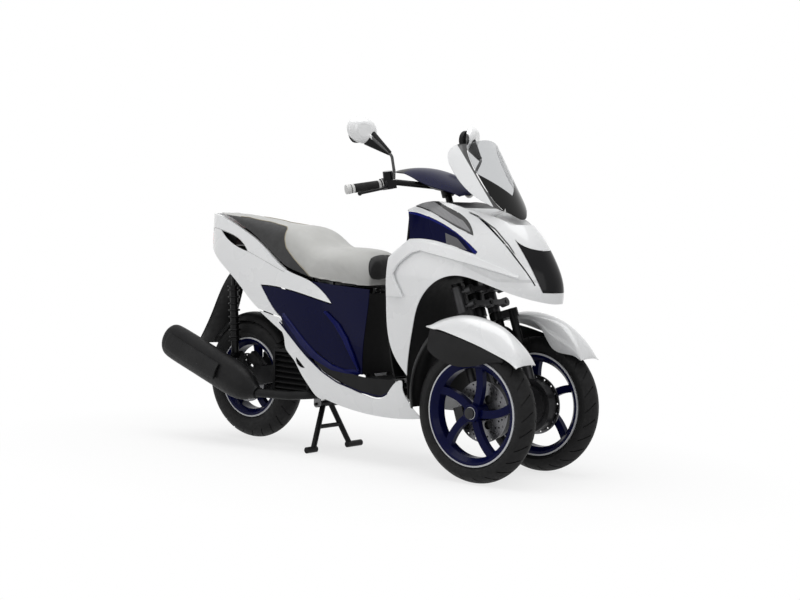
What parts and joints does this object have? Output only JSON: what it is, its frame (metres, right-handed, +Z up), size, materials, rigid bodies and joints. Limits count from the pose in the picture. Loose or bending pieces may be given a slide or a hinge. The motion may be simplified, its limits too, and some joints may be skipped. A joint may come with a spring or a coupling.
{
  "type": "leaning three-wheel scooter",
  "caption": "Leaning reverse-trike scooter with steered front wheels on a parallelogram linkage, stepped seat over a storage tub, rear drive unit, screen and stands.",
  "frame": {"origin": "on the floor, under the middle of the overall length and width", "axes": "+X forwards, +Y to the rider's left, +Z up"},
  "size_m": [1.9057, 0.7472, 1.2889],
  "materials": {
    "frame_black": "semi gloss",
    "cast_grey": "cast",
    "case_black": "satin",
    "spring_black": "gloss",
    "muffler_black": "satin",
    "plain_plastic": "grained",
    "linkage_grey": "satin",
    "body_white": "gloss",
    "body_blue": "gloss",
    "lamp_lens": "clear",
    "nose_panel": "gloss",
    "screen_clear": "clear",
    "lamp_red": "clear",
    "rail_black": "satin",
    "fork_metal": "satin",
    "slider_black": "satin",
    "bar_black": "semi gloss",
    "grip_rubber": "matt",
    "control_black": "satin",
    "mirror_black": "satin",
    "seat_cover": "grained",
    "tyre_rubber": "matt",
    "rim_black": "gloss",
    "disc_steel": "brushed"
  },
  "bodies": {
    "chassis": {"frame": "frame_black", "engine": "cast_grey", "drive_case": "case_black", "swing_arm": "case_black", "shocks": "spring_black", "exhaust": "muffler_black", "radiator_cover": "plain_plastic", "rear_fender": "plain_plastic", "rear_hugger": "plain_plastic", "lean_linkage": "linkage_grey", "front_cowl": "body_white", "side_inserts": "body_blue", "side_lamps": "lamp_lens", "nose_lamp": "nose_panel", "leg_shield": "plain_plastic", "wheel_liner": "plain_plastic", "dash": "plain_plastic", "windscreen": "screen_clear", "screen_surround": "plain_plastic", "tail_cowl": "body_white", "rear_lamp": "lamp_red", "grab_rail": "rail_black", "body_sides": "body_blue", "side_skirts": "body_white", "floor": "plain_plastic", "seat_post_cover": "plain_plastic", "storage_tub": "plain_plastic"},
    "right_fork": {"right_fork": "fork_metal", "right_fork_leg": "slider_black", "right_fender": "body_white", "right_fender_lower": "plain_plastic"},
    "left_fork": {"left_fork": "fork_metal", "left_fork_leg": "slider_black", "left_fender": "body_white", "left_fender_lower": "plain_plastic"},
    "right_wheel": {"right_wheel_tyre": "tyre_rubber", "right_wheel_rim": "rim_black", "right_wheel_disc": "disc_steel"},
    "left_wheel": {"left_wheel_tyre": "tyre_rubber", "left_wheel_rim": "rim_black", "left_wheel_disc": "disc_steel"},
    "rear_wheel": {"rear_wheel_tyre": "tyre_rubber", "rear_wheel_rim": "rim_black", "rear_wheel_disc": "disc_steel"},
    "handlebar": {"handlebar": "bar_black", "grips": "grip_rubber", "hand_controls": "control_black", "bar_cover": "body_blue", "bar_cover_lower": "plain_plastic", "mirrors": "mirror_black"},
    "seat": {"seat_pan": "plain_plastic", "seat_cushion": "seat_cover"},
    "centre_stand": {"centre_stand": "frame_black"},
    "side_stand": {"side_stand": "frame_black"}
  },
  "joints": [
    {"name": "handlebar_steering", "type": "hinge", "parent": "chassis", "child": "handlebar", "pos_m": [0.7707, 0, 0], "axis": [-0.342, 0, 0.9397], "range_deg": [-32, 32]},
    {"name": "right_fork_steering", "type": "hinge", "parent": "chassis", "child": "right_fork", "pos_m": [0.7707, -0.092, 0], "axis": [-0.342, 0, 0.9397], "range_deg": [-32, 32]},
    {"name": "left_fork_steering", "type": "hinge", "parent": "chassis", "child": "left_fork", "pos_m": [0.7707, 0.092, 0], "axis": [-0.342, 0, 0.9397], "range_deg": [-32, 32]},
    {"name": "right_wheel_spin", "type": "hinge", "parent": "right_fork", "child": "right_wheel", "pos_m": [0.7027, -0.1925, 0.2498], "axis": [0, 1, 0], "continuous": true},
    {"name": "left_wheel_spin", "type": "hinge", "parent": "left_fork", "child": "left_wheel", "pos_m": [0.7027, 0.1925, 0.2498], "axis": [0, 1, 0], "continuous": true},
    {"name": "rear_wheel_spin", "type": "hinge", "parent": "chassis", "child": "rear_wheel", "pos_m": [-0.6073, 0, 0.2594], "axis": [0, 1, 0], "continuous": true},
    {"name": "seat_hinge", "type": "hinge", "parent": "chassis", "child": "seat", "pos_m": [0.11189, 0, 0.6476], "axis": [0, 1, 0], "range_deg": [0, 68]},
    {"name": "centre_stand_pivot", "type": "hinge", "parent": "chassis", "child": "centre_stand", "pos_m": [-0.20251, 0, 0.185], "axis": [0, 1, 0], "range_deg": [0, 80]},
    {"name": "side_stand_pivot", "type": "hinge", "parent": "chassis", "child": "side_stand", "pos_m": [0.13809, 0.12586, 0.23814], "axis": [0, -0.9004, -0.4351], "range_deg": [0, 104]}
  ],
  "couplings": [
    {"joint": "right_fork_steering", "follows": "handlebar_steering", "ratio": 1},
    {"joint": "left_fork_steering", "follows": "handlebar_steering", "ratio": 1}
  ]
}
